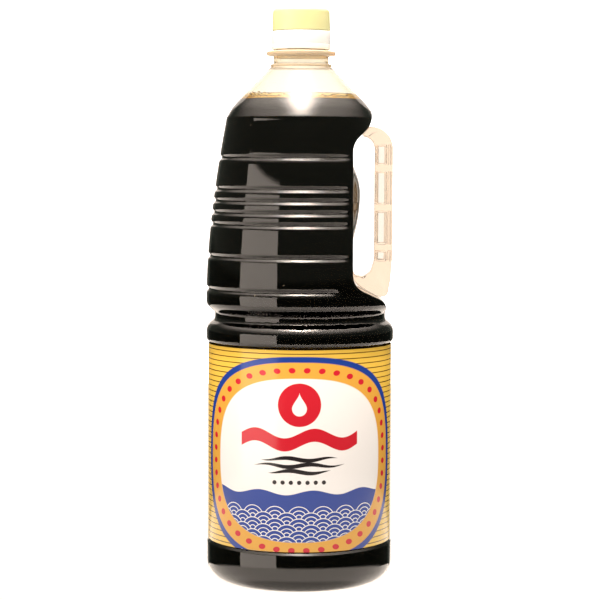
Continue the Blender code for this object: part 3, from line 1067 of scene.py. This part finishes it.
pet = clear_plastic("clear blown plastic", 1.57, 0.003, AMBER, 60.0, 0.02, 0.25, 0.0)
wet_pet = clear_plastic("blown plastic wetted by sauce", 1.03, 0.003, AMBER, 60.0, 0.0, 0.0, 0.0)
neck_pet = clear_plastic("thick plastic of the neck", 1.22, 0.01, AMBER, 75.0, 0.02, 0.3, 0.07)
grip_plastic = clear_plastic("clear moulded plastic", 1.32, 0.12, PEACH, 23.0, 0.05, 0.2, 0.05)
dress(bottle, pet)
bottle.data.materials.append(wet_pet)
bottle.data.materials.append(neck_pet)
wetted = 0
for polygon in bottle.data.polygons:
    centre = polygon.center
    axis = Vector((0, 0, min(max(centre.z, AXIS_LOW), AXIS_HIGH)))
    if centre.z > NECK_START:
        polygon.material_index = 2
    elif centre.z < SURFACE and polygon.normal.dot(axis - centre) > 0:
        polygon.material_index = 1
        wetted += 1
print("wetted faces", wetted)
dress(grip, grip_plastic)

# %% [markdown]
# ## Sauce, seen through the plastic
# Soy sauce is brown-black in depth and amber in a film. Absorption does that by itself when red
# light gets about three times as far as green, and ten times as far as blue. Its index of
# refraction is set close to one, because the sauce touches the plastic: hardly any light is
# mirrored where the two meet.

# %% Sauce material
def sauce_material():
    """A clear liquid that swallows light within a few millimetres."""
    material, graph, shader = new_material("soy sauce")
    graph.feed(shader, {
        "Base Color": (1, 1, 1, 1),
        "Transmission Weight": 1.0,
        "IOR": 1.1,
        "Roughness": graph.noise(graph.place(), 40.0, 3.0) * 0.008,
    })
    graph.absorb((0.9, 0.71, 0.0, 1), 3900.0)
    return material


def bubble_material():
    """Thin skins of sauce, some amber and some almost clear."""
    material, graph, shader = new_material("sauce bubbles")
    tone = graph.step(graph.noise(graph.place(), 300.0, 2.0), 0.4, 0.62)
    graph.feed(shader, {
        "Base Color": graph.mix(tone, (1.0, 0.84, 0.45, 1), (1.0, 0.97, 0.85, 1)),
        "Roughness": tone * 0.05 + 0.03,
        "Transmission Weight": 1.0,
        "IOR": 1.25,
    })
    return material


dress(sauce, sauce_material())
dress(foam, bubble_material())

# %% [markdown]
# ## Cap and collar
# Both are opaque polyethylene with a soft sheen. Their colour varies a trace, and fine scuffs make
# the gloss uneven.

# %% Cap and collar materials
def moulded_plastic(name, main, second, roughness):
    """Opaque plastic whose colour drifts between two shades, with fine scuffs."""
    material, graph, shader = new_material(name)
    vector = graph.place()
    drift = graph.noise(vector, 45.0, 4.0)
    scuffs = graph.noise(vector, 400.0, 5.0, 0.7)
    graph.feed(shader, {
        "Base Color": graph.mix(graph.step(drift, 0.3, 0.7), main, second),
        "Roughness": graph.step(scuffs, 0.45, 0.7) * 0.15 + roughness,
        "Normal": graph.bump(scuffs, 0.08, 0.0002),
    })
    return material


cap_shades = (colour(232, 230, 174), colour(226, 223, 160))
collar_shades = (colour(252, 253, 253), colour(248, 249, 250))
dress(cap, moulded_plastic("yellow cap plastic", *cap_shades, 0.32))
dress(collar, moulded_plastic("white collar plastic", *collar_shades, 0.35))

# %% [markdown]
# ## The printed label
# The print is generic: gold sides with fine brown lines, a rounded blue frame with a beaded gold
# band inside it, a white field, a red disc with a drop, a red wave, dark ripples, a row of dots,
# and a blue sea of scallops at the foot. Each shape is a sum on two coordinates that follow the
# sleeve: the angle from the front, turned into millimetres along the surface, and the height in
# millimetres from the frame's middle.

# %% Label print
GOLD = colour(222, 182, 74)
WARM_GOLD = colour(214, 158, 66)
BROWN = colour(88, 62, 24)
BLUE = colour(28, 58, 140)
RED = colour(192, 32, 46)
WHITE = colour(232, 229, 228)
INK = colour(28, 24, 26)
FRAME_MIDDLE = 72.0  # these are in millimetres on the label
FRAME_WIDE = 64.0
FRAME_TALL = 55.0
LINE_PITCH = 2.87
BEADS = 44
BEAD_PITCH = 6.6
DISC_HEIGHT = 29.5
DISC_RADIUS = 11.5
DROP_RADIUS = 3.9
DOT_PITCH = 4.4
DOT_HEIGHT = 11.6
FIELD = 0.79  # the white field's share of the frame
SCALLOP_RADIUS = 6.4
SCALLOP_ROWS = 8
SCALLOP_LOWEST = 53.0


def label_material():
    """The whole print, laid down shape over shape."""
    material, graph, shader = new_material("printed film")
    vector = graph.place()
    x, y, z = graph.split(vector)
    angle = graph.maths("ARCTAN2", x, -y)
    along = angle * (LABEL_RADIUS / MM)
    high = z / MM - FRAME_MIDDLE
    line = abs(graph.maths("FRACT", (high + 100) / LINE_PITCH) - 0.5)
    frame_shape = superellipse(graph, along, high, 2.5)
    swing = graph.maths("ARCTAN2", high / FRAME_TALL, along / FRAME_WIDE)
    turns = swing * (BEADS / (2 * math.pi)) + BEADS / 2
    bead_along = (graph.maths("FRACT", turns) - 0.5) * BEAD_PITCH
    bead = graph.length(bead_along, (frame_shape - 0.868) * 56)
    field = graph.inside(frame_shape, FIELD, 0.006)
    sea_edge = graph.maths("SINE", along / 4.6) * 1.3 - 17.0
    sea = graph.inside(high - sea_edge, 0, 0.15) * field
    disc = graph.length(along, high - DISC_HEIGHT)
    ribbon = abs(high - 11.0 - graph.maths("SINE", along / 5.1) * 2.6)
    ribbon_end = graph.inside(abs(along), 33.0, 0.2)
    dot_along = (graph.maths("FRACT", along / DOT_PITCH + 20.5) - 0.5) * DOT_PITCH
    dot = graph.length(dot_along, high + DOT_HEIGHT)
    dots_end = graph.inside(abs(along), 3.5 * DOT_PITCH, 0.05)
    layers = [
        (graph.inside(line, 0.09, 0.03), BROWN),
        (graph.inside(frame_shape, 1.0, 0.006), BLUE),
        (graph.inside(frame_shape, 0.945, 0.006), WARM_GOLD),
        (graph.inside(bead, 1.5, 0.15), RED),
        (field, WHITE),
        (sea, BLUE),
        (sea * waves(graph, along, high), WHITE),
        (graph.inside(disc, DISC_RADIUS, 0.15), RED),
        (drop(graph, along, high - DISC_HEIGHT + 0.5), WHITE),
        (graph.inside(ribbon, 3.5, 0.15) * ribbon_end, RED),
        (ripples(graph, along, high + 2.6), INK),
        (graph.inside(dot, 1.15, 0.12) * dots_end, INK),
    ]
    print_so_far = GOLD
    for mask, ink in layers:
        print_so_far = graph.mix(mask, print_so_far, ink)
    graph.feed(shader, {
        "Base Color": print_so_far,
        "Roughness": graph.noise(vector, 120.0, 4.0) * 0.08 + 0.16,
        "Specular IOR Level": 0.35,
        "Normal": graph.bump(graph.noise(vector, 50.0, 2.0), 0.06, 0.0004),
        "Coat Weight": 0.15,
        "Coat Roughness": 0.06,
    })
    return material


def superellipse(graph, along, high, power):
    """1 on the edge of the rounded frame, less inside it."""
    across = (abs(along) / FRAME_WIDE) ** power
    up = (abs(high) / FRAME_TALL) ** power
    return (across + up) ** (1 / power)


def waves(graph, along, high):
    """White arcs of a traditional scallop pattern, each row hiding the one above."""
    pitch = 2 * SCALLOP_RADIUS
    pattern = None
    for row in reversed(range(SCALLOP_ROWS)):
        shift = 0.5 if row % 2 else 0.0
        side = (graph.maths("FRACT", along / pitch + 20 + shift) - 0.5) * pitch
        distance = graph.length(side, high + SCALLOP_LOWEST - row * pitch / 4)
        rings = graph.inside(abs(graph.maths("FRACT", distance / 2.13) - 0.93), 0.13, 0.04)
        cover = graph.inside(distance, SCALLOP_RADIUS, 0.05)
        arcs = rings * cover
        pattern = arcs if pattern is None else pattern * (1 - cover) + arcs
    return pattern


def drop(graph, along, high):
    """A white drop: a disc below that runs up to a point."""
    narrow = graph.step(high, -1.5, 7.2)
    width = DROP_RADIUS * (1 - narrow)
    body_part = graph.inside(graph.length(along, high + 1.5), DROP_RADIUS, 0.12)
    tip_part = graph.inside(abs(along) - width, 0, 0.12) * graph.step(high, -1.6, -1.4)
    return graph.most(body_part, tip_part * graph.inside(high, 7.0, 0.1))


def ripples(graph, along, high):
    """Three wavy dark strokes that swell in the middle."""
    strokes = None
    for offset, reach in ((3.4, 21.0), (0.0, 25.0), (-3.4, 17.0)):
        bend = graph.maths("SINE", along / 3.7 + offset) * 0.7
        thick = 1.15 * (1 - graph.least(abs(along) / reach, 1.0) ** 2.0)
        stroke = graph.inside(abs(high - offset - bend) - thick, 0.0, 0.12)
        stroke = stroke * graph.inside(abs(along), reach, 0.1)
        strokes = stroke if strokes is None else graph.most(strokes, stroke)
    return strokes


dress(label, label_material())

# %% [markdown]
# ## The studio
# The bottle stands on a white sweep that is lit from behind, so it is outlined against pure
# white. What its dark gloss mirrors is the rest of the room: a long soft box on the left, a soft
# glow overhead with a narrow hot lamp in it, and darkness in front. The room is a world shader
# that works out azimuth and height from the direction of each ray. It also draws the floor that
# the gloss mirrors and the clear plastic lets through, because the mesh floor leaves grain there.

# %% Floor
SWEEP_LIGHT = (1.0, 0.95, 0.88, 1)
bpy.ops.mesh.primitive_plane_add(size=1.4, location=(0, 0.3, -0.0002))
floor = bpy.context.object
floor.name = "floor"
bpy.ops.object.transform_apply(location=True, rotation=True, scale=True)
floor_material, floor_graph, floor_shader = new_material("lit white sweep")
floor_graph.feed(floor_shader, {
    "Base Color": (0, 0, 0, 1),
    "Specular IOR Level": 0.0,
    "Emission Color": SWEEP_LIGHT,
    "Emission Strength": 1.15,
})
floor.visible_glossy = False  # the room's shader draws the mirrored floor instead
floor.visible_transmission = False
dress(floor, floor_material)

# %% Room
SEEN_THROUGH = 1.3  # how bright the sweep is through clear plastic
LAMP_LIGHT = (1.0, 0.88, 0.77, 1)  # the lamps are a little warm
DIM_LIGHT = (0.72, 0.85, 0.66, 1)  # the dark room is a little green
BENT_LIGHT = (1.0, 0.7, 0.4, 1)  # what thick edges bend in from beside the sweep is warm
BACKDROP_STRENGTH = 1.1
BOX_STRENGTH = 3.0
GLOW_STRENGTH = 4.2
LAMP_STRENGTH = 26.0
SEEN_STRENGTH = 3.5  # white enough to stay pure white behind the bottle
IN_DEGREES = 180 / math.pi


def build_room():
    """The world shader: what the camera sees, what clear plastic passes and what gloss mirrors."""
    world = bpy.data.worlds.new("studio")
    bpy.context.scene.world = world
    world.use_nodes = True
    graph = Graph(world.node_tree)
    x, y, z = graph.split(graph.add("TexCoord", out="Generated"))
    azimuth = graph.maths("ARCTAN2", x, -y) * IN_DEGREES
    height = graph.maths("ARCSINE", z) * IN_DEGREES
    above = graph.step(z, 0.0, 0.03)
    around = abs(azimuth) + graph.step(height, 8.0, 22.0) * 9.0
    backdrop = graph.step(around, 160.0, 165.0) + graph.step(abs(azimuth), 147.0, 152.0) * 0.12
    backdrop = backdrop * graph.inside(abs(height - 14), 27.0, 2.0)
    box = graph.inside(abs(azimuth + 53), 25.0, 0.6) * graph.inside(abs(height + 2), 17.0, 0.6)
    flat = graph.most(z, 0.02)
    across = x / flat  # the ray's place on a ceiling one unit up
    back = y / flat
    glow = graph.maths("EXPONENT", (across * across + back * back) / -1.175) * above
    lamp = graph.maths("EXPONENT", across * across / -0.0484) * graph.step(z, 0.1, 0.2)
    lamp = lamp * graph.inside(abs(back), 0.55, 0.2)
    mirrored = above * 0.08 + 0.03 + backdrop * BACKDROP_STRENGTH + box * BOX_STRENGTH
    mirrored = mirrored + glow * GLOW_STRENGTH + lamp * LAMP_STRENGTH
    below = graph.inside(height, -14.0, 0.6)
    lit_floor = graph.step(height, -60.0, -40.0) + 1.1
    mirrored = mirrored * (1 - below) + below * lit_floor
    rays = graph.tree.nodes.new("ShaderNodeLightPath")
    seen = Wire(graph, rays.outputs["Is Camera Ray"])
    passed = graph.least(Wire(graph, rays.outputs["Transmission Depth"]), 1.0)
    matt = graph.least(Wire(graph, rays.outputs["Diffuse Depth"]), 1.0)
    passed = passed * (1 - matt) * (1 - seen)
    ahead = graph.step(y, 0.6, 0.95)
    through = SEEN_THROUGH * (ahead * 0.3 + 0.7)
    strength = mirrored * (1 - seen - passed) + seen * SEEN_STRENGTH + passed * through
    room_light = graph.mix(graph.least(strength * 2.5, 1.0), DIM_LIGHT, LAMP_LIGHT)
    behind = graph.mix(ahead, BENT_LIGHT, SWEEP_LIGHT)
    tint = graph.mix(passed, room_light, behind)
    light = graph.mix(seen, tint, (1, 1, 1, 1))
    graph.feed(graph.tree.nodes["Background"], {"Color": light, "Strength": strength})


build_room()
print("room built")

# %% [markdown]
# ## Pieces and the frame
# Each piece stands for one solid of the frame, whose imported mesh is hidden, and rides on the
# root body. The table also names a material slot for each piece, which is not used here. The
# bubbles have no solid, so they only ride along.

# %% Hand over to the frame
STANDS_FOR = [
    (bottle, "bottle", "clear_bottle"),
    (sauce, "soy_sauce", "sauce"),
    (grip, "grip", "clear_grip"),
    (label, "label", "label_film"),
    (collar, "cap_collar", "white_plastic"),
    (cap, "cap", "yellow_plastic"),
]
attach(foam, "root")
for piece, node, slot_name in STANDS_FOR:
    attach(piece, "root")
    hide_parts(node)
